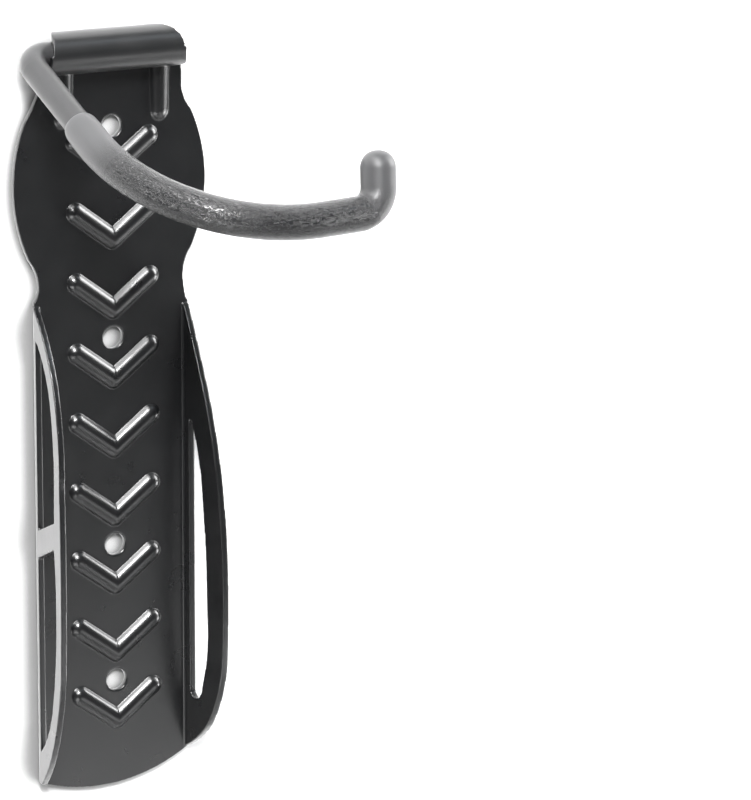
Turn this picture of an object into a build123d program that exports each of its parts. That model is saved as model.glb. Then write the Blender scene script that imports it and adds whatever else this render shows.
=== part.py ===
from build123d import *
from math import cos, radians, sin, sqrt, tan
import os

# Wall-mounted vertical bicycle hook: a stamped steel wall plate whose top edge
# is rolled into a barrel, a bent steel rod welded into that barrel, and a soft
# sleeve with a closed round tip over the hooked part of the rod.
# Millimetres. Back face of the plate on Y = 0, the rider's side towards -Y,
# Z up, origin on the back face at mid height on the plate's centre line.

# ---- driving dimensions ----------------------------------------------------
SHEET = 2.4             # steel sheet thickness with its coat
TOP_Z = 146.0           # top of the rolled barrel
BOTTOM_Z = -146.5       # lowest point of the bottom arc
PITCH = 80.0 / 3.0      # chevron pitch; screw holes sit on every third one
CHEVRONS = 9
CHEVRON_TOP_Z = 97.0    # inner vertex of the top chevron
HOLE_D = 8.3            # screw clearance holes
HOLE_RISE = 11.2        # hole centre above its chevron's inner vertex
HOLE_ROWS = (0, 3, 6, 8)

NECK_HALF = 29.2        # half width of the neck and of the rolled barrel
HEAD_HALF = 39.0        # half width of the round head
WAIST_HALF = 29.5       # half width of the waist
LEFT_HALF = 33.2        # half widths of the channel outside its folds
RIGHT_HALF = 31.7
FOLD_R = 1.5            # inside radius of the folds
SPLAY = 7.0             # flanges lean outwards, degrees
BEND_R = 0.6            # inside radius of the bend below the barrel

BARREL_R = 8.0          # outside radius of the roll
BARREL_Z = TOP_Z - BARREL_R
BARREL_Y = -BARREL_R

LEFT_END = -30.4        # ends of the roll along X
RIGHT_END = 26.0
ROLL_PAST = 24.0        # the roll ends this many degrees past its top

ROD_D = 10.0
SLEEVE_D = 13.0

ARM_W = 7.6             # width of a chevron arm at its foot
ARM_X = 15.2            # centre of a chevron arm's round end
ARM_RISE = 6.7          # end centre above the inner vertex
EMBOSS = 2.2            # height of the raised chevrons
CROWN_R = (ARM_W / 2) ** 2 / (2 * EMBOSS) + EMBOSS / 2

RIB_X = 19.8            # centre line of the two gusset ribs
RIB_R = 4.2


# ---- small helpers ---------------------------------------------------------
def face_of(edges):
    return Face(Wire(edges))


def xz_face(points_and_arcs):
    # Closed outline in the plane of the plate's back face, from pieces that
    # are either a straight line (2 points) or a three-point arc (3 points).
    edges = []
    for piece in points_and_arcs:
        pts = [Vector(x, 0, z) for x, z in piece]
        if len(pts) == 2:
            edges.append(Edge.make_line(pts[0], pts[1]))
        else:
            edges.append(Edge.make_three_point_arc(pts[0], pts[1], pts[2]))
    return face_of(edges)


def side_face(x, pieces):
    # The same for an outline of (y, z) points in the plane X = x.
    edges = []
    for piece in pieces:
        pts = [Vector(x, y, z) for y, z in piece]
        if len(pts) == 2:
            edges.append(Edge.make_line(pts[0], pts[1]))
        else:
            edges.append(Edge.make_three_point_arc(pts[0], pts[1], pts[2]))
    return face_of(edges)


# ---- wall plate: head and neck ---------------------------------------------
def head_plate():
    # Neck, round head and waist; the left side bulges a little more.
    right = [
        [(NECK_HALF, 127.0), (NECK_HALF, 121.0)],
        [(NECK_HALF, 121.0), (30.5, 116.4), (33.3, 112.0)],
        [(33.3, 112.0), (HEAD_HALF, 86.5), (33.2, 60.0)],
        [(33.2, 60.0), (30.5, 55.2), (WAIST_HALF, 49.8)],
        [(WAIST_HALF, 49.8), (WAIST_HALF, 47.8)],
        [(WAIST_HALF, 47.8), (29.9, 44.2), (30.6, 40.5)],
        [(30.6, 40.5), (28.0, 36.0)],
    ]
    left = [
        [(-28.0, 36.0), (-32.6, 44.4)],
        [(-32.6, 44.4), (-31.2, 46.4), (-30.4, 50.5)],
        [(-30.4, 50.5), (-31.6, 56.0), (-34.2, 60.5)],
        [(-34.2, 60.5), (-HEAD_HALF - 1.1, 86.5), (-35.2, 112.5)],
        [(-35.2, 112.5), (-31.6, 118.4), (-NECK_HALF, 123.5)],
        [(-NECK_HALF, 123.5), (-NECK_HALF, 127.0)],
    ]
    outline = [[(-NECK_HALF, 127.0), (NECK_HALF, 127.0)]]
    outline = outline + right
    outline = outline + [[(28.0, 36.0), (-28.0, 36.0)]]
    outline = outline + left
    return extrude(xz_face(outline), SHEET, dir=(0, -1, 0))


# ---- wall plate: lower channel ---------------------------------------------
def channel_section():
    # U section in plan: floor against the wall, two flanges leaning outwards.
    lean = tan(radians(SPLAY))
    deep = 45.0
    wall = SHEET / cos(radians(SPLAY))

    def half(side, width):
        outer_0 = width - SHEET * lean
        outer_1 = width + (deep - SHEET) * lean
        return [(side * outer_0, 0), (side * outer_1, -deep),
                (side * (outer_1 - wall), -deep), (side * (width - wall), -SHEET)]

    pts = half(1, RIGHT_HALF) + list(reversed(half(-1, LEFT_HALF)))
    vectors = [Vector(x, y, BOTTOM_Z - 1) for x, y in pts]
    edges = []
    for i in range(len(vectors)):
        edges.append(Edge.make_line(vectors[i], vectors[(i + 1) % len(vectors)]))
    body = extrude(face_of(edges), 49.0 - BOTTOM_Z, dir=(0, 0, 1))
    outer = [e for e in body.edges().filter_by(Axis.Z) if abs(e.center().Y) < 0.01]
    body = fillet(outer, FOLD_R + SHEET)
    corners = (RIGHT_HALF - wall, wall - LEFT_HALF)
    inner = [e for e in body.edges().filter_by(Axis.Z) if abs(e.center().Y + SHEET) < 0.01
             and min(abs(e.center().X - c) for c in corners) < 0.01]
    return fillet(inner, FOLD_R)


def left_profile():
    # Side outline of the left flange: it reaches its full depth soon after
    # its top, then runs out in a long curve at the bottom.
    return side_face(-60, [
        [(5, 45.4), (-0.5, 44.6)],
        [(-0.5, 44.6), (-14.7, 31.9), (-23.4, 18.6)],
        [(-23.4, 18.6), (-28.3, 2.5), (-29.7, -20)],
        [(-29.7, -20), (-30.4, -58), (-29.2, -93)],
        [(-29.2, -93), (-25.6, -108.3), (-18.1, -125.5)],
        [(-18.1, -125.5), (-12.8, -133.3), (-5.6, -141.1)],
        [(-5.6, -141.1), (-5.6, BOTTOM_Z - 2)],
        [(-5.6, BOTTOM_Z - 2), (5, BOTTOM_Z - 2)],
        [(5, BOTTOM_Z - 2), (5, 45.4)],
    ])


def right_profile():
    # The right flange rises more slowly and is cut off rounder below.
    return side_face(0, [
        [(5, 44.2), (-0.5, 43.6)],
        [(-0.5, 43.6), (-9.0, 23), (-15.4, 6.8)],
        [(-15.4, 6.8), (-22.1, -16), (-26.2, -40)],
        [(-26.2, -40), (-28.2, -72), (-27.4, -96)],
        [(-27.4, -96), (-24.1, -111.0), (-17.0, -124.6)],
        [(-17.0, -124.6), (-10.4, -131.1), (-SHEET, -136.4)],
        [(-SHEET, -136.4), (-SHEET, BOTTOM_Z - 2)],
        [(-SHEET, BOTTOM_Z - 2), (5, BOTTOM_Z - 2)],
        [(5, BOTTOM_Z - 2), (5, 44.2)],
    ])


def bottom_outline():
    # Bottom edge of the plate as it runs through both folds.
    return xz_face([
        [(-60, 60), (60, 60)],
        [(60, 60), (60, -100.6)],
        [(60, -100.6), (-5.7, BOTTOM_Z), (-60, -120.8)],
        [(-60, -120.8), (-60, 60)],
    ])


def left_windows():
    # Two windows that reach back to the fold, parted by a slanting bar.
    back = -5.2
    upper = side_face(-60, [
        [(back, 31.2), (-14.0, 22.6), (-19.8, 12.1)],
        [(-19.8, 12.1), (-22.9, -3), (-23.6, -21)],
        [(-23.6, -21), (-23.3, -34)],
        [(-23.3, -34), (back, -41.3)],
        [(back, -41.3), (back, 31.2)],
    ])
    lower = side_face(-60, [
        [(back, -52.0), (-22.8, -44.5)],
        [(-22.8, -44.5), (-24.1, -57), (-24.3, -70)],
        [(-24.3, -70), (-23.4, -87), (-20.3, -103)],
        [(-20.3, -103), (-14.7, -117.2), (back, -128.0)],
        [(back, -128.0), (back, -52.0)],
    ])
    reach = 40
    return extrude(upper, reach, dir=(1, 0, 0)) + extrude(lower, reach, dir=(1, 0, 0))


def right_slot():
    # One long slot for a strap.
    back = -5.9
    slot = side_face(18, [
        [(back, -5.8), (-7.8, -6.6)],
        [(-7.8, -6.6), (-10.7, -15), (-13.3, -25.5)],
        [(-13.3, -25.5), (-15.8, -48), (-17.2, -79.6)],
        [(-17.2, -79.6), (-16.9, -97), (-13.4, -110.6)],
        [(-13.4, -110.6), (-10.9, -115.0), (-8.0, -115.6)],
        [(-8.0, -115.6), (back, -114.0)],
        [(back, -114.0), (back, -5.8)],
    ])
    return extrude(slot, 42, dir=(1, 0, 0))


def channel():
    body = channel_section()
    sides = extrude(left_profile(), 60, dir=(1, 0, 0)) + extrude(right_profile(), 60, dir=(1, 0, 0))
    body = body & sides
    body = body & extrude(bottom_outline(), 60, both=True)
    body = body - left_windows()
    return body - right_slot()


# ---- wall plate: rolled barrel ---------------------------------------------
def barrel():
    # The top edge bends forward at a right angle, then rolls up the front and
    # over the top, and ends a little past the top.
    bore = BARREL_R - SHEET
    x0 = -40
    low = BARREL_Z - BARREL_R
    past = radians(ROLL_PAST)
    end_out = (BARREL_Y + BARREL_R * sin(past), BARREL_Z + BARREL_R * cos(past))
    end_in = (BARREL_Y + bore * sin(past), BARREL_Z + bore * cos(past))
    roll = side_face(x0, [
        [(BARREL_Y, low), (BARREL_Y - BARREL_R, BARREL_Z), (BARREL_Y, TOP_Z)],
        [(BARREL_Y, TOP_Z), (BARREL_Y + BARREL_R * sin(past / 2), BARREL_Z + BARREL_R * cos(past / 2)),
         end_out],
        [end_out, end_in],
        [end_in, (BARREL_Y + bore * sin(past / 2), BARREL_Z + bore * cos(past / 2)),
         (BARREL_Y, BARREL_Z + bore)],
        [(BARREL_Y, BARREL_Z + bore), (BARREL_Y - bore, BARREL_Z), (BARREL_Y, BARREL_Z - bore)],
        [(BARREL_Y, BARREL_Z - bore), (BARREL_Y, low)],
    ])
    outer = BEND_R + SHEET
    k = 1 - 0.70711
    tail = side_face(x0, [
        [(0, 126.0), (-SHEET, 126.0)],
        [(-SHEET, 126.0), (-SHEET, low - BEND_R)],
        [(-SHEET, low - BEND_R), (-SHEET - BEND_R * k, low - BEND_R * k), (-outer, low)],
        [(-outer, low), (BARREL_Y, low)],
        [(BARREL_Y, low), (BARREL_Y, low + SHEET)],
        [(BARREL_Y, low + SHEET), (-outer, low + SHEET)],
        [(-outer, low + SHEET), (-outer * k, low + SHEET - outer * k), (0, low + SHEET - outer)],
        [(0, low + SHEET - outer), (0, 126.0)],
    ])
    rolled = extrude(roll, 80, dir=(1, 0, 0))
    shelf = extrude(tail, 80, dir=(1, 0, 0))
    # the tongue is cut to shape before it is rolled: the ends of its lower
    # half, then the rounded corners of its free end
    lower = Solid.extrude(lower_plan(), Vector(0, 0, 20))
    upper = Solid.extrude(upper_plan(), Vector(0, 0, 20))
    return (rolled & lower) + (rolled & upper) + (shelf & lower)


def lower_plan():
    z = BARREL_Z - 20
    a = NECK_HALF
    v = [Vector(x, y, z) for x, y in (
        (-a, 0), (-a, -SHEET - BEND_R), (LEFT_END, -9.0), (LEFT_END, -16.5),
        (24.2, -16.5), (RIGHT_END, -12.6), (RIGHT_END, -8.4), (a, -SHEET - BEND_R), (a, 0))]
    return face_of([Edge.make_line(v[i], v[(i + 1) % len(v)]) for i in range(len(v))])


def upper_plan():
    z = BARREL_Z
    v = [Vector(x, y, z) for x, y in (
        (LEFT_END, -16.5), (-29.0, -14.3), (-28.4, -11.6), (-27.2, -8.4), (-23.4, -3.5),
        (9.0, -3.5), (19.1, -10.3), (24.2, -16.5))]
    return face_of([
        Edge.make_three_point_arc(v[0], v[1], v[2]),
        Edge.make_three_point_arc(v[2], v[3], v[4]),
        Edge.make_line(v[4], v[5]),
        Edge.make_three_point_arc(v[5], v[6], v[7]),
        Edge.make_line(v[7], v[0]),
    ])


# ---- wall plate: stamped relief --------------------------------------------
def round_bar(start, end, radius):
    # Round bar with ball ends between two points.
    axis = end - start
    bar = Plane(origin=start, z_dir=axis) * Cylinder(
        radius, axis.length, align=(Align.CENTER, Align.CENTER, Align.MIN))
    ball_0 = Pos(start.X, start.Y, start.Z) * Sphere(radius)
    ball_1 = Pos(end.X, end.Y, end.Z) * Sphere(radius)
    return bar + ball_0 + ball_1


def chevron(z0, inset):
    # Two round bars sunk into the plate so that only a low crown stands out.
    y = -SHEET - EMBOSS + CROWN_R
    foot = Vector(0, y, z0 - ARM_W / 2 / cos(radians(35.5)))
    left = round_bar(Vector(-ARM_X, y, z0 + ARM_RISE), foot, CROWN_R - inset)
    right = round_bar(Vector(ARM_X, y, z0 + ARM_RISE), foot, CROWN_R - inset)
    return left + right


def rib(side, radius, lift):
    # Round-nosed rib that stiffens the bend between neck and barrel.
    x = side * RIB_X
    top = Vector(x, -1.0 + lift, BARREL_Z - BARREL_R + 0.9)
    end = Vector(x, -0.3 + lift, 112.6)
    axis = top - end
    shaft = Plane(origin=end, z_dir=axis) * Cylinder(
        radius, axis.length, align=(Align.CENTER, Align.CENTER, Align.MIN))
    nose = Pos(end.X, end.Y, end.Z) * Sphere(radius)
    block = Pos(x, -10, 112) * Box(12, 20, 2 * (top.Z - 112))
    return (shaft + nose) & block


def screw_holes():
    tool = None
    for row in HOLE_ROWS:
        z = CHEVRON_TOP_Z - row * PITCH + HOLE_RISE
        hole = Pos(0, 0, z) * Rot(90, 0, 0) * Cylinder(HOLE_D / 2, 30)
        tool = hole if tool is None else tool + hole
    return tool


def wall_plate():
    body = head_plate() + channel() + barrel()
    for side in (-1, 1):
        body = body + rib(side, RIB_R, 0.0)
    front = Pos(0, -25, -20) * Box(80, 50, 260)
    for row in range(CHEVRONS):
        body = body + (chevron(CHEVRON_TOP_Z - row * PITCH, 0.0) & front)
    for row in range(CHEVRONS):
        body = body - chevron(CHEVRON_TOP_Z - row * PITCH, SHEET)
    for side in (-1, 1):
        groove = rib(side, RIB_R - SHEET, 0.0) & Pos(0, 0, 117) * Box(120, 40, 18)
        body = body - groove
    return body - screw_holes()


# ---- hook rod and sleeve ---------------------------------------------------
HOOK_CORNERS = (
    Vector(10.0, -8.1, 137.6),     # closed end inside the barrel
    Vector(-37.5, -8.1, 137.6),    # tight bend beside the barrel
    Vector(-31.0, -110.0, 87.0),   # where arm and crossing part would meet
    Vector(51.5, -110.5, 90.5),    # foot of the upturned tip
    Vector(52.5, -108.0, 105.5),
)
HOOK_RADII = (8.0, 62.0, 9.5)
SLEEVE_START = 86.5     # along the rod's centre line from the closed end
ROD_PAST = 2.5          # rod runs this far past the last corner
TIP_PAST = 6.4          # sleeve tip


def hook_line(past):
    # Centre line with each corner rounded by its own radius.
    pts = list(HOOK_CORNERS)
    along = (pts[-1] - pts[-2]).normalized()
    pts[-1] = pts[-1] + along * past
    edges = []
    last = pts[0]
    for i, radius in enumerate(HOOK_RADII):
        corner = pts[i + 1]
        back = (pts[i] - corner).normalized()
        ahead = (pts[i + 2] - corner).normalized()
        half = back.get_angle(ahead) / 2
        reach = radius / tan(radians(half))
        start = corner + back * reach
        end = corner + ahead * reach
        to_centre = (back + ahead).normalized()
        middle = corner + to_centre * (radius / sin(radians(half)) - radius)
        edges.append(Edge.make_line(last, start))
        edges.append(Edge.make_three_point_arc(start, middle, end))
        last = end
    edges.append(Edge.make_line(last, pts[-1]))
    return edges


def sweep_round(edges, diameter):
    path = Wire(edges)
    start = path.position_at(0)
    plane = Plane(origin=start, z_dir=path.tangent_at(0))
    return sweep(plane * Circle(diameter / 2), path=path)


def trimmed(edges, start):
    # The same centre line from a distance along it to its end.
    path = Wire(edges)
    return [Wire(edges).trim(start / path.length, 1.0)]


def hook_rod():
    rod = sweep_round(hook_line(ROD_PAST), ROD_D)
    # fillet weld that fills the gap between rod and bore at the far end
    weld = Pos(9.4, BARREL_Y, BARREL_Z) * Rot(0, 90, 0) * Cylinder(
        BARREL_R - SHEET, 4.4, align=(Align.CENTER, Align.CENTER, Align.CENTER))
    weld = weld & Pos(9.4, BARREL_Y - 4, BARREL_Z - 2) * Box(6, 12, 12)
    return rod + weld


def hook_sleeve():
    outer_path = trimmed(hook_line(TIP_PAST), SLEEVE_START)[0]
    plane = Plane(origin=outer_path.position_at(0), z_dir=outer_path.tangent_at(0))
    outer = sweep(plane * Circle(SLEEVE_D / 2), path=outer_path)
    tip = outer.faces().sort_by_distance(outer_path.position_at(1))[0]
    outer = fillet(tip.edges(), 5.0)
    lip = outer.faces().sort_by_distance(outer_path.position_at(0))[0]
    outer = fillet(lip.edges(), 1.0)
    return outer - sweep_round(hook_line(ROD_PAST), ROD_D)


# ---- export ----------------------------------------------------------------
PARTS = {
    "wall_plate": wall_plate,
    "hook_rod": hook_rod,
    "hook_sleeve": hook_sleeve,
}

os.makedirs("parts", exist_ok=True)
for name, make in PARTS.items():
    solid = make()
    solids = solid.solids()
    print(name, len(solids), round(sum(s.volume for s in solids), 1), solid.bounding_box())
    export_step(solids[0] if len(solids) == 1 else solid, "parts/" + name + ".step")
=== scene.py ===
import bpy
import math
import numpy as np
from mathutils import Matrix, Vector


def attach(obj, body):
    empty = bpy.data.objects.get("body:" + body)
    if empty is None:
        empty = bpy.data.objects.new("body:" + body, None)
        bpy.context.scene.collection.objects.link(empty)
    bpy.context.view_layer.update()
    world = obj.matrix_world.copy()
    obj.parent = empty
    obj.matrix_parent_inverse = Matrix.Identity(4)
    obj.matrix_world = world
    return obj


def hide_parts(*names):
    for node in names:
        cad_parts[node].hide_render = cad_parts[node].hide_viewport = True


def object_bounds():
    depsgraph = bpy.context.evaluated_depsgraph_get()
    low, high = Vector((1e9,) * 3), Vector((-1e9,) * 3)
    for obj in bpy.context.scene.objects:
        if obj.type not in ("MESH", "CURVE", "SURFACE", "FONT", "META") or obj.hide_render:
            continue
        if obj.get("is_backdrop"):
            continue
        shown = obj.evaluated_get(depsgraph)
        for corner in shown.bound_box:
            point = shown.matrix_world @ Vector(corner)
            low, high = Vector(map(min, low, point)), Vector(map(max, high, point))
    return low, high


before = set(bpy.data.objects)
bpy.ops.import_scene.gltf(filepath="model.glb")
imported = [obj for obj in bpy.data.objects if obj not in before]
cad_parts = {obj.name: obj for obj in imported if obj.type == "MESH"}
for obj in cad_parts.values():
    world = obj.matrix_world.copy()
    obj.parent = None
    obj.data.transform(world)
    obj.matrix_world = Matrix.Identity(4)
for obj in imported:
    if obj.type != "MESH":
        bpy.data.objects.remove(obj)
cad_low, cad_high = (list(v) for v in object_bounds())
MM = 0.001

# ---- sizes shared with the solid model, in millimetres ------------------------
SHEET = 2.4
TOP_OF_FLOOR = 127.5        # the flat head and floor end here, below the bend
FLANGE_TOP = 44.0
ROLL_FOOT = 131.0           # everything above this belongs to the rolled barrel
BARREL_Y, BARREL_Z, BARREL_R = -8.0, 138.0, 8.0
LEFT_HALF, RIGHT_HALF, SPLAY = 33.2, 31.7, math.radians(7.0)
PITCH, CHEVRON_TOP_Z, CHEVRONS = 80.0 / 3.0, 97.0, 9
ARM_X, ARM_RISE, ARM_W, EMBOSS = 15.2, 6.7, 7.6, 2.2
ARM_SLOPE = math.radians(35.5)
CROWN_R = (ARM_W / 2) ** 2 / (2 * EMBOSS) + EMBOSS / 2
HOLE_ROWS, HOLE_RISE = (0, 3, 6, 8), 11.2
RIB_X, RIB_FOOT_Z = 19.8, 106.5
WAIST_EDGE_X, WAIST_EDGE_Z = 29.6, 47.0
HOOK_CORNERS = ((10.0, -8.1, 137.6), (-37.5, -8.1, 137.6), (-31.0, -110.0, 87.0),
                (51.5, -110.5, 90.5), (52.5, -108.0, 105.5))
HOOK_RADII = (8.0, 62.0, 9.5)
SLEEVE_START, SLEEVE_R, TIP_PAST = 86.5, 6.5, 6.4

# zones of the plate's floor, in millimetres
PLATE_HALF = 40.0
FLAT_HALF, BACK_FLAT_HALF = 26.5, 27.5           # flat floor either side of the middle
FLAT_LOW, FLAT_HIGH = -133.0, 108.0
CHANNEL_LEFT, CHANNEL_RIGHT, CHANNEL_TOP = -29.0, 27.6, 40.0
CHEVRON_MARGIN = 1.3        # the floor is flat from this far outside a chevron's foot
HOLE_RIM, HOLE_RIM_END, HOLE_REACH = 4.4, 5.0, 5.2
WAIST_LOW_Z, WAIST_HIGH_Z, WAIST_SLOPE, WAIST_DEEP = 40.2, 52.0, 0.147, 3.2

# the sleeve's rolled lip as distance from its start and radius, and its grain
SLEEVE_LIP = ((0.0, 5.05), (0.05, 5.5), (0.35, 5.85), (1.0, 6.1), (2.2, 6.32), (4.0, 6.46))
GRAIN_FADE_IN, GRAIN_FADE_OUT, GRAIN_STRETCH = (14.0, 34.0), (30.0, 10.0), 0.42

# ---- mesh density: lengths in millimetres, the rest are counts ------------------
VOXEL = 0.36
ARC_STEPS = 96              # steps along each bend of the hook's centre line
RING = 96                   # points round the sleeve
SLEEVE_STEP = 0.8
TIP_RINGS = 18

# ---- stage and camera, in metres ----------------------------------------------
STAGE_HALF = 2.5
FLOOR_FRONT = 3.5
FLOOR_DROP = 0.75           # the part hangs on a wall, well above the floor
WALL_GAP = 0.0005
CAMERA_STAND = (-0.74523, -1.40793, 0.40735)     # from the middle of the part
CAMERA_FORWARD = (0.4875, 0.8398, -0.2389)
CAMERA_RIGHT = (0.8654, -0.5011, 0.0047)
LENS, SENSOR = 202.5, 36.0


# ---- small helpers --------------------------------------------------------------
def mesh_object(name, verts, faces):
    me = bpy.data.meshes.new(name)
    me.from_pydata([tuple(v) for v in verts], [], faces)
    me.update()
    ob = bpy.data.objects.new(name, me)
    bpy.context.scene.collection.objects.link(ob)
    me.polygons.foreach_set("use_smooth", [True] * len(me.polygons))
    return ob


def smoothstep(a, b, x):
    t = np.clip((x - a) / (b - a), 0.0, 1.0)
    return t * t * (3 - 2 * t)


# ---- node helpers ---------------------------------------------------------------
class Mat:
    # a Principled material whose nodes are added by short calls
    def __init__(self, name, **sockets):
        self.mat = bpy.data.materials.new(name)
        self.mat.use_nodes = True
        self.nt = self.mat.node_tree
        self.nt.nodes.clear()
        self.out = self.nt.nodes.new("ShaderNodeOutputMaterial")
        self.bsdf = self.nt.nodes.new("ShaderNodeBsdfPrincipled")
        self.nt.links.new(self.bsdf.outputs[0], self.out.inputs[0])
        for k, v in sockets.items():
            self.bsdf.inputs[k.replace("_", " ")].default_value = v
        self.pos = self.node("ShaderNodeTexCoord").outputs["Object"]

    def node(self, kind, **props):
        n = self.nt.nodes.new(kind)
        for k, v in props.items():
            if k.startswith("in_"):
                n.inputs[k[3:].replace("_", " ")].default_value = v
            else:
                setattr(n, k, v)
        return n

    def link(self, a, b):
        self.nt.links.new(a, b)

    def noise(self, scale, detail=3.0, rough=0.5, distort=0.0, vec=None):
        n = self.node("ShaderNodeTexNoise", in_Scale=scale, in_Detail=detail,
                      in_Roughness=rough, in_Distortion=distort)
        self.link(vec or self.pos, n.inputs["Vector"])
        return n.outputs["Fac"]

    def ramp(self, fac, stops):
        # two colours with an even blend between their positions
        n = self.node("ShaderNodeValToRGB")
        for e, (p, colour) in zip(n.color_ramp.elements, stops):
            e.position = p
            e.color = (*colour, 1)
        self.link(fac, n.inputs[0])
        return n.outputs[0]

    def remap(self, fac, a, b, lo, hi):
        n = self.node("ShaderNodeMapRange", in_From_Min=a, in_From_Max=b, in_To_Min=lo, in_To_Max=hi)
        self.link(fac, n.inputs["Value"])
        return n.outputs["Result"]

    def mix(self, fac, a, b):
        # colour a where fac is 0, colour b where it is 1
        n = self.node("ShaderNodeMix", data_type="RGBA")
        self.link(fac, n.inputs[0])
        for i, v in ((6, a), (7, b)):
            if isinstance(v, tuple):
                n.inputs[i].default_value = v
            else:
                self.link(v, n.inputs[i])
        return n.outputs[2]

    def math(self, op, a, b=None):
        n = self.node("ShaderNodeMath", operation=op)
        for i, v in enumerate((a, b)):
            if v is None:
                continue
            if isinstance(v, (int, float)):
                n.inputs[i].default_value = v
            else:
                self.link(v, n.inputs[i])
        return n.outputs[0]

    def bump(self, height, strength, distance, normal=None):
        n = self.node("ShaderNodeBump", in_Strength=strength, in_Distance=distance)
        self.link(height, n.inputs["Height"])
        if normal is not None:
            self.link(normal, n.inputs["Normal"])
        return n.outputs["Normal"]


# ---- materials --------------------------------------------------------------------
def black_powder_coat():
    m = Mat("black_powder_coat", IOR=1.65)
    deep, light = (0.0032, 0.0034, 0.0038), (0.0042, 0.0044, 0.0049)
    clouds = m.noise(28.0, 3.0)
    m.link(m.ramp(clouds, [(0.3, deep), (0.7, light)]), m.bsdf.inputs["Base Color"])
    # satin on the flat sheet, duller on the tightly rolled barrel
    height = m.node("ShaderNodeSeparateXYZ")
    m.link(m.pos, height.inputs[0])
    roll = m.remap(height.outputs["Z"], 0.1275, 0.1315, 0.0, 0.07)
    satin = m.remap(m.noise(90.0, 4.0), 0.3, 0.7, 0.27, 0.31)
    m.link(m.math("ADD", satin, roll), m.bsdf.inputs["Roughness"])
    # orange peel with a finer powder grain on top
    peel = m.bump(m.noise(420.0, 2.0), 0.07, 0.0003)
    m.link(m.bump(m.noise(1500.0, 3.0), 0.06, 0.0002, peel), m.bsdf.inputs["Normal"])
    return m.mat


def satin_grey():
    m = Mat("satin_grey_coat", IOR=1.5)
    deep, light = (0.026, 0.026, 0.027), (0.036, 0.036, 0.037)
    m.link(m.ramp(m.noise(35.0, 3.0), [(0.3, deep), (0.7, light)]), m.bsdf.inputs["Base Color"])
    m.link(m.remap(m.noise(200.0, 4.0), 0.3, 0.7, 0.36, 0.44), m.bsdf.inputs["Roughness"])
    m.link(m.bump(m.noise(1100.0, 3.0), 0.10, 0.0003), m.bsdf.inputs["Normal"])
    return m.mat


def leathery_sleeve():
    # fine wrinkled grain, drawn out along the sleeve, that fades to smooth rubber at
    # the lip and at the tip, with painted shade: its creases are painted near black;
    # the mesh carries both the fade and the grain coordinate
    m = Mat("leathery_sleeve", IOR=1.5)
    along = m.node("ShaderNodeAttribute", attribute_name="grain").outputs["Fac"]
    skin = m.node("ShaderNodeAttribute", attribute_name="skin").outputs["Vector"]
    wave = m.noise(1150.0, 3.0, 0.55, 0.8, skin)
    # mask of the wrinkles' creases: it sets their bump and also paints them dark as painted shade
    crease_shade_and_relief = m.remap(m.math("ABSOLUTE", m.math("SUBTRACT", wave, 0.5)), 0.01, 0.085, 0.0, 1.0)
    fine = m.noise(2200.0, 2.0, 0.5, 0.3, skin)
    patches = m.noise(60.0, 2.0)
    skin_tone = m.ramp(fine, [(0.3, (0.006, 0.0063, 0.007)), (0.7, (0.018, 0.0183, 0.0195))])
    worn = m.mix(m.remap(patches, 0.4, 0.7, 0.0, 0.5), skin_tone, (0.03, 0.0303, 0.0315, 1))
    # painted shade: the creases are painted near black over the skin's own tone
    grain_and_crease_shade = m.mix(crease_shade_and_relief, (0.0012, 0.0012, 0.0013, 1), worn)
    smooth = (0.056, 0.056, 0.058, 1)
    m.link(m.mix(along, smooth, grain_and_crease_shade), m.bsdf.inputs["Base Color"])
    m.link(m.remap(along, 0.0, 1.0, 0.44, 0.2), m.bsdf.inputs["Roughness"])
    relief = m.math("ADD", m.math("MULTIPLY", crease_shade_and_relief, 0.7), m.math("MULTIPLY", fine, 0.6))
    m.link(m.bump(m.math("MULTIPLY", relief, along), 0.55, 0.0003), m.bsdf.inputs["Normal"])
    return m.mat


def plain(name, colour, rough):
    m = Mat(name, Roughness=rough)
    m.bsdf.inputs["Base Color"].default_value = (*colour, 1)
    return m


# ---- wall plate ----------------------------------------------------------------------
def chevron_distance(x, z):
    # distance in millimetres from the centre line of the nearest chevron
    best = np.full(x.shape, 1e9)
    foot = ARM_W / 2 / math.cos(ARM_SLOPE)
    ax = np.abs(x)
    for row in range(CHEVRONS):
        z0 = CHEVRON_TOP_Z - row * PITCH
        a = np.array([0.0, z0 - foot])
        b = np.array([ARM_X, z0 + ARM_RISE])
        ab = b - a
        t = np.clip(((ax - a[0]) * ab[0] + (z - a[1]) * ab[1]) / (ab @ ab), 0, 1)
        d = np.hypot(ax - a[0] - t * ab[0], z - a[1] - t * ab[1])
        best = np.minimum(best, d)
    return best


def hole_distance(x, z):
    # distance in millimetres from the centre of the nearest screw hole
    best = np.full(x.shape, 1e9)
    for row in HOLE_ROWS:
        z0 = CHEVRON_TOP_Z - row * PITCH + HOLE_RISE
        best = np.minimum(best, np.hypot(x, z - z0))
    return best


def crown(d, radius):
    # height of a round crown above the back plane, d millimetres off its centre line
    sunk = SHEET + EMBOSS - CROWN_R
    return np.sqrt(np.maximum(radius ** 2 - d ** 2, 0)) + sunk


def remeshed(node, name):
    # an even skin of small faces over the solid, with its sharp edges eased
    ob = bpy.data.objects.new(name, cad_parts[node].data.copy())
    bpy.context.scene.collection.objects.link(ob)
    skin = ob.modifiers.new("remesh", "REMESH")
    skin.mode = "VOXEL"
    skin.voxel_size = VOXEL * MM
    skin.use_smooth_shade = True
    ease = ob.modifiers.new("smooth", "SMOOTH")
    ease.factor = 0.5
    ease.iterations = 5
    dg = bpy.context.evaluated_depsgraph_get()
    me = bpy.data.meshes.new_from_object(ob.evaluated_get(dg), depsgraph=dg)
    ob.modifiers.clear()
    ob.data = me
    return ob


def read_points(me, layer):
    values = np.zeros(len(me.vertices) * 3)
    me.vertices.foreach_get(layer, values)
    return values.reshape(-1, 3)


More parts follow.
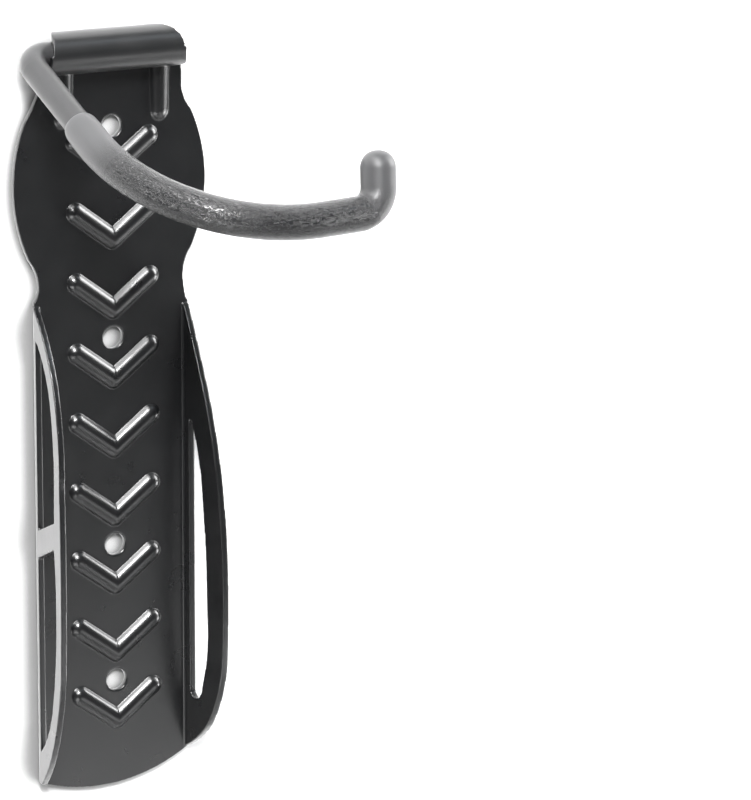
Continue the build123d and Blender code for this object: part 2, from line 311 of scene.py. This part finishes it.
def away_from_holes(weight, hole):
    # the rims of the screw holes keep their own rounding
    held = np.minimum(weight, smoothstep(HOLE_RIM, HOLE_RIM_END, hole))
    return np.where(hole < HOLE_REACH, held, weight)


def front_weights(x, y, z, ny, d, front_y):
    # how far each point faces forward, and how near it is to the front surface, both
    # from 0 to 1; both are 1 wherever a point surely lies on the flat floor
    flat = d > ARM_W / 2 + CHEVRON_MARGIN
    facing = np.where(flat, smoothstep(0.25, 0.5, -ny), smoothstep(0.45, 0.8, -ny))
    gap = np.abs(y - front_y)
    near = np.where(flat, smoothstep(0.32, 0.2, gap), smoothstep(0.9, 0.5, gap))
    channel = (z < CHANNEL_TOP) & (x > CHANNEL_LEFT) & (x < CHANNEL_RIGHT)
    middle = ((np.abs(x) < FLAT_HALF) | channel) & (z > FLAT_LOW) & (z < FLAT_HIGH)
    inner = flat & middle & (ny < -0.1) & (gap < 1.0)
    return np.where(inner, 1.0, facing), np.where(inner, 1.0, near)


def true_floor(x, y, z, ny):
    # flat floor with rounded chevrons, front and back
    d = chevron_distance(x, z)
    hole = hole_distance(x, z)
    floor = (np.abs(x) < PLATE_HALF) & (z < TOP_OF_FLOOR)
    on_rib = smoothstep(6.5, 4.6, np.abs(np.abs(x) - RIB_X))
    off_rib = 1 - on_rib * smoothstep(RIB_FOOT_Z - 1, RIB_FOOT_Z + 1, z)
    front_y = -np.maximum(SHEET, crown(d, CROWN_R))
    back_y = -np.where(d < CROWN_R - SHEET, crown(d, CROWN_R - SHEET), 0)
    facing, near = front_weights(x, y, z, ny, d, front_y)
    w = np.where(floor, facing * near * off_rib, 0)
    w = np.where((d < 4.6) & floor & (y < -1.5) & (ny < 0.2), 1.0, w)
    w = away_from_holes(w, hole)
    back_near = smoothstep(0.9, 0.35, np.abs(y - back_y))
    back_facing = smoothstep(0.55, 0.9, ny)
    y = y + (front_y - y) * w
    w = np.where(floor & (np.abs(x) < BACK_FLAT_HALF), back_facing * back_near * off_rib, 0)
    w = away_from_holes(w, hole)
    return y + (back_y - y) * w


def true_flanges(x, y, z, nx):
    # flat inner and outer planes, each side at its own half width
    lean = math.tan(SPLAY)
    wall = SHEET / math.cos(SPLAY)
    ax = np.abs(x)
    outer = np.where(x < 0, LEFT_HALF, RIGHT_HALF) - SHEET * lean - y * lean
    for plane_x in (outer, outer - wall):
        gap = ax - plane_x
        w = smoothstep(0.3, 0.12, np.abs(gap)) * (y < -4.2) * (z < FLANGE_TOP)
        w = w * smoothstep(0.5, 0.8, np.abs(nx))
        ax = ax - gap * w
    return np.sign(x) * ax


def true_waist(x, y, z):
    # the waist's right edge runs smoothly down into the fold
    edge = WAIST_EDGE_X + np.clip(WAIST_EDGE_Z - z, 0, 6.8) * WAIST_SLOPE
    beside = (z > WAIST_LOW_Z) & (z < WAIST_HIGH_Z) & (x > 0) & (y > -WAIST_DEEP)
    return np.where(beside, np.minimum(x, edge), x)


def true_barrel(y, z):
    # round outside and inside of the roll
    ry, rz = y - BARREL_Y, z - BARREL_Z
    r = np.hypot(ry, rz)
    for radius in (BARREL_R, BARREL_R - SHEET):
        gap = radius - r
        w = smoothstep(0.3, 0.12, np.abs(gap)) * (z > ROLL_FOOT)
        ry = ry + ry / np.maximum(r, 1e-6) * gap * w
        rz = rz + rz / np.maximum(r, 1e-6) * gap * w
    rolled = z > ROLL_FOOT
    return np.where(rolled, ry + BARREL_Y, y), np.where(rolled, rz + BARREL_Z, z)


def make_plate(material):
    ob = remeshed("wall_plate", "stamped_plate")
    me = ob.data
    x, y, z = (read_points(me, "co") / MM).T.copy()
    nx, ny, _ = read_points(me, "normal").T
    y = true_floor(x, y, z, ny)
    x = true_flanges(x, y, z, nx)
    x = true_waist(x, y, z)
    y, z = true_barrel(y, z)
    me.vertices.foreach_set("co", (np.stack([x, y, z], 1) * MM).ravel())
    me.polygons.foreach_set("use_smooth", [True] * len(me.polygons))
    me.update()
    me.materials.clear()
    me.materials.append(material)
    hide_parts("wall_plate")
    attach(ob, "root")


# ---- rod and sleeve --------------------------------------------------------------------
def unit(v):
    return v / np.linalg.norm(v)


def bend(before, corner, after, radius):
    # points on the arc that rounds a corner of the centre line
    back = unit(before - corner)
    ahead = unit(after - corner)
    half = math.acos(np.clip(back @ ahead, -1, 1)) / 2
    reach = radius / math.tan(half)
    centre = corner + unit(back + ahead) * radius / math.sin(half)
    a = corner + back * reach - centre
    b = corner + ahead * reach - centre
    turn = math.pi - 2 * half
    points = []
    for k in range(ARC_STEPS + 1):
        f = k / ARC_STEPS
        points.append(centre + (a * math.sin((1 - f) * turn) + b * math.sin(f * turn)) / math.sin(turn))
    return points


def hook_path(past):
    # the rounded line that the solid rod follows, run on by `past` mm, and the
    # distance of each of its points from its start
    pts = [np.array(p) for p in HOOK_CORNERS]
    pts[-1] = pts[-1] + unit(pts[-1] - pts[-2]) * past
    line = [pts[0]]
    for i, radius in enumerate(HOOK_RADII):
        line += bend(pts[i], pts[i + 1], pts[i + 2], radius)
    line = np.array(line + [pts[-1]])
    seg = np.linalg.norm(np.diff(line, axis=0), axis=1)
    return line, np.concatenate([[0], np.cumsum(seg)])


def tube(name, stations, radii):
    # round closed tube along the hook's line, with these radii at these distances (mm)
    line, s = hook_path(20.0)
    keep = np.concatenate([[True], np.diff(s) > 1e-9])
    line, s = line[keep], s[keep]

    def at(q):
        return np.stack([np.interp(q, s, line[:, k]) for k in range(3)], -1)

    p = at(stations)
    t = at(stations + 0.2) - at(stations - 0.2)
    t = t / np.linalg.norm(t, axis=1)[:, None]
    u = np.array([0, 0, 1.0]) if abs(t[0][2]) < 0.9 else np.array([1.0, 0, 0])
    ang = np.arange(RING) * 2 * math.pi / RING
    verts = []
    for i in range(len(p)):
        u = unit(u - t[i] * (u @ t[i]))
        v = np.cross(t[i], u)
        verts.append(p[i] + radii[i] * (np.cos(ang)[:, None] * u + np.sin(ang)[:, None] * v))
    faces = []
    for i in range(len(p) - 1):
        for j in range(RING):
            k = (j + 1) % RING
            faces.append((i * RING + j, i * RING + k, (i + 1) * RING + k, (i + 1) * RING + j))
    last = (len(p) - 1) * RING
    faces.append(tuple(reversed(range(RING))))
    faces.append(tuple(last + j for j in range(RING)))
    return mesh_object(name, np.concatenate(verts) * MM, faces)


def sleeve_outline(start, end):
    # distance along the hook and radius: a rolled lip, an even body, a round tip
    stations = [start + q for q, _ in SLEEVE_LIP]
    radii = [r for _, r in SLEEVE_LIP]
    body = np.arange(start + 6.0, end - SLEEVE_R - 0.5, SLEEVE_STEP)
    stations += list(body)
    radii += [SLEEVE_R] * len(body)
    for k in range(TIP_RINGS + 1):
        a = math.pi / 2 * k / TIP_RINGS
        stations.append(end - SLEEVE_R + SLEEVE_R * math.sin(a) - 0.001 * (k == TIP_RINGS))
        radii.append(max(SLEEVE_R * math.cos(a) ** 0.9, 0.05))
    return np.array(stations), np.array(radii)


def make_sleeve(material):
    _, s = hook_path(0.0)
    start, end = SLEEVE_START, s[-1] + TIP_PAST
    stations, radii = sleeve_outline(start, end)
    ob = tube("soft_sleeve", stations, radii)
    # where the skin is grained, and a grain coordinate drawn out along the sleeve
    fade_in = smoothstep(start + GRAIN_FADE_IN[0], start + GRAIN_FADE_IN[1], stations)
    fade_out = smoothstep(end - GRAIN_FADE_OUT[0], end - GRAIN_FADE_OUT[1], stations)
    grain = fade_in * (1 - fade_out)
    layer = ob.data.attributes.new("grain", "FLOAT", "POINT")
    layer.data.foreach_set("value", np.repeat(grain, RING).astype(np.float32))
    ang = np.tile(np.arange(RING) * 2 * math.pi / RING, len(stations))
    along = np.repeat(stations, RING) * GRAIN_STRETCH
    skin = np.stack([along, SLEEVE_R * np.cos(ang), SLEEVE_R * np.sin(ang)], 1) * MM
    layer = ob.data.attributes.new("skin", "FLOAT_VECTOR", "POINT")
    layer.data.foreach_set("vector", skin.ravel().astype(np.float32))
    ob.data.materials.append(material)
    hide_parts("hook_sleeve")
    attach(ob, "root")


def coat_rod(material):
    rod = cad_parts["hook_rod"]
    rod.data.materials.clear()
    rod.data.materials.append(material)


# ---- stage ---------------------------------------------------------------------------------
def quad(name, corners, material):
    ob = mesh_object(name, corners, [(0, 1, 2, 3)])
    ob.data.materials.append(material)
    ob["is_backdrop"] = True


def area_light(name, loc, target, size, power, spread=110, colour=(1, 1, 1)):
    li = bpy.data.lights.new(name, "AREA")
    li.shape = "RECTANGLE"
    li.spread = math.radians(spread)
    li.size, li.size_y = size
    li.energy = power
    li.color = colour
    ob = bpy.data.objects.new(name, li)
    bpy.context.scene.collection.objects.link(ob)
    ob.location = loc
    ob.rotation_euler = (Vector(target) - Vector(loc)).to_track_quat("-Z", "Y").to_euler()
    ob.visible_camera = False


def wall_paint():
    # white paint with a soft contact shadow to the left of and below the part
    wall = plain("wall_paint", (0.86, 0.86, 0.86), 0.8)
    lean = wall.node("ShaderNodeCombineXYZ", in_X=0.62, in_Y=-0.68, in_Z=0.38)
    shade = wall.node("ShaderNodeAmbientOcclusion", samples=16, in_Distance=0.012)
    wall.link(lean.outputs[0], shade.inputs["Normal"])
    grey = wall.remap(shade.outputs["AO"], 0.42, 0.98, 0.20, 0.86)
    rays = wall.node("ShaderNodeLightPath")
    seen = wall.node("ShaderNodeMix", data_type="RGBA")
    wall.link(rays.outputs["Is Camera Ray"], seen.inputs[0])
    seen.inputs[6].default_value = (0.86, 0.86, 0.86, 1)
    wall.link(grey, seen.inputs[7])
    wall.link(seen.outputs[2], wall.bsdf.inputs["Base Color"])
    # bright in the steel's reflections
    wall.bsdf.inputs["Emission Color"].default_value = (1, 1, 1, 1)
    wall.link(wall.math("MULTIPLY", rays.outputs["Is Glossy Ray"], 1.15),
              wall.bsdf.inputs["Emission Strength"])
    # seen from its back the wall lets the view through, so the back of the part can be looked at
    geo = wall.node("ShaderNodeNewGeometry")
    clear = wall.node("ShaderNodeBsdfTransparent")
    mix = wall.node("ShaderNodeMixShader")
    wall.link(geo.outputs["Backfacing"], mix.inputs[0])
    wall.link(wall.bsdf.outputs[0], mix.inputs[1])
    wall.link(clear.outputs[0], mix.inputs[2])
    wall.link(mix.outputs[0], wall.out.inputs[0])
    return wall.mat


def floor_paint():
    # the floor looks pale in the other views and sends no light of its own to the part
    floor = plain("floor_paint", (0.8, 0.8, 0.8), 0.7)
    floor.bsdf.inputs["Emission Color"].default_value = (1, 1, 1, 1)
    direct = floor.node("ShaderNodeLightPath").outputs["Is Camera Ray"]
    floor.link(floor.math("MULTIPLY", direct, 0.55), floor.bsdf.inputs["Emission Strength"])
    return floor.mat


def build_room(low, high):
    wall_y = high[1] + WALL_GAP
    floor_z = low[2] - FLOOR_DROP
    side = STAGE_HALF
    quad("wall", [(-side, wall_y, floor_z), (side, wall_y, floor_z), (side, wall_y, side),
                  (-side, wall_y, side)], wall_paint())
    quad("floor", [(-side, -FLOOR_FRONT, floor_z), (side, -FLOOR_FRONT, floor_z),
                   (side, side, floor_z), (-side, side, floor_z)], floor_paint())


def build_lights():
    area_light("top_softbox", (-0.46, -0.46, 1.1), (0, 0, 0), (0.7, 0.6), 6.0)
    area_light("right_softbox", (1.22, -0.34, 0.5), (0, 0, 0), (0.5, 0.9), 9.4)
    area_light("right_low_card", (1.05, -0.28, -0.38), (0, 0, 0), (0.45, 0.4), 2.5)
    area_light("blue_card", (0.64, -0.62, 1.0), (0, 0, 0.13), (0.22, 0.3), 0.3, 110, (0.8, 0.9, 1.0))
    area_light("key", (-0.8, -1.8, 1.45), (0, 0, 0), (0.6, 0.6), 8.5, 50)
    area_light("low_card", (0.5, -0.86, -0.60), (0, 0, -0.2), (1.1, 0.34), 0.9)
    area_light("low_left", (-0.45, -0.5, -0.5), (-0.02, 0, -0.12), (0.4, 0.4), 1.0)


def build_world():
    # a faint fill light; the surroundings look pale where nothing else is in view
    world = bpy.data.worlds.new("studio")
    bpy.context.scene.world = world
    world.use_nodes = True
    tree = world.node_tree
    bg = tree.nodes["Background"]
    bg.inputs[0].default_value = (0.9, 0.92, 0.95, 1)
    rays = tree.nodes.new("ShaderNodeLightPath")
    level = tree.nodes.new("ShaderNodeMapRange")
    level.inputs["To Min"].default_value = 0.08
    level.inputs["To Max"].default_value = 0.75
    tree.links.new(rays.outputs["Is Camera Ray"], level.inputs["Value"])
    tree.links.new(level.outputs["Result"], bg.inputs[1])


def build_camera(low, high):
    centre = Vector([(a + b) / 2 for a, b in zip(low, high)])
    cam = bpy.data.cameras.new("camera")
    cam.sensor_width = SENSOR
    cam.lens = LENS
    cam.clip_start, cam.clip_end = 0.05, 20
    ob = bpy.data.objects.new("camera", cam)
    bpy.context.scene.collection.objects.link(ob)
    forward = Vector(CAMERA_FORWARD).normalized()
    right = Vector(CAMERA_RIGHT).normalized()
    turn = Matrix((right, right.cross(forward), -forward)).transposed()
    ob.matrix_world = Matrix.Translation(centre + Vector(CAMERA_STAND)) @ turn.to_4x4()
    bpy.context.scene.camera = ob


build_camera(cad_low, cad_high)
make_plate(black_powder_coat())
make_sleeve(leathery_sleeve())
coat_rod(satin_grey())
build_room(cad_low, cad_high)
build_lights()
build_world()
bpy.context.scene.view_settings.view_transform = "Standard"
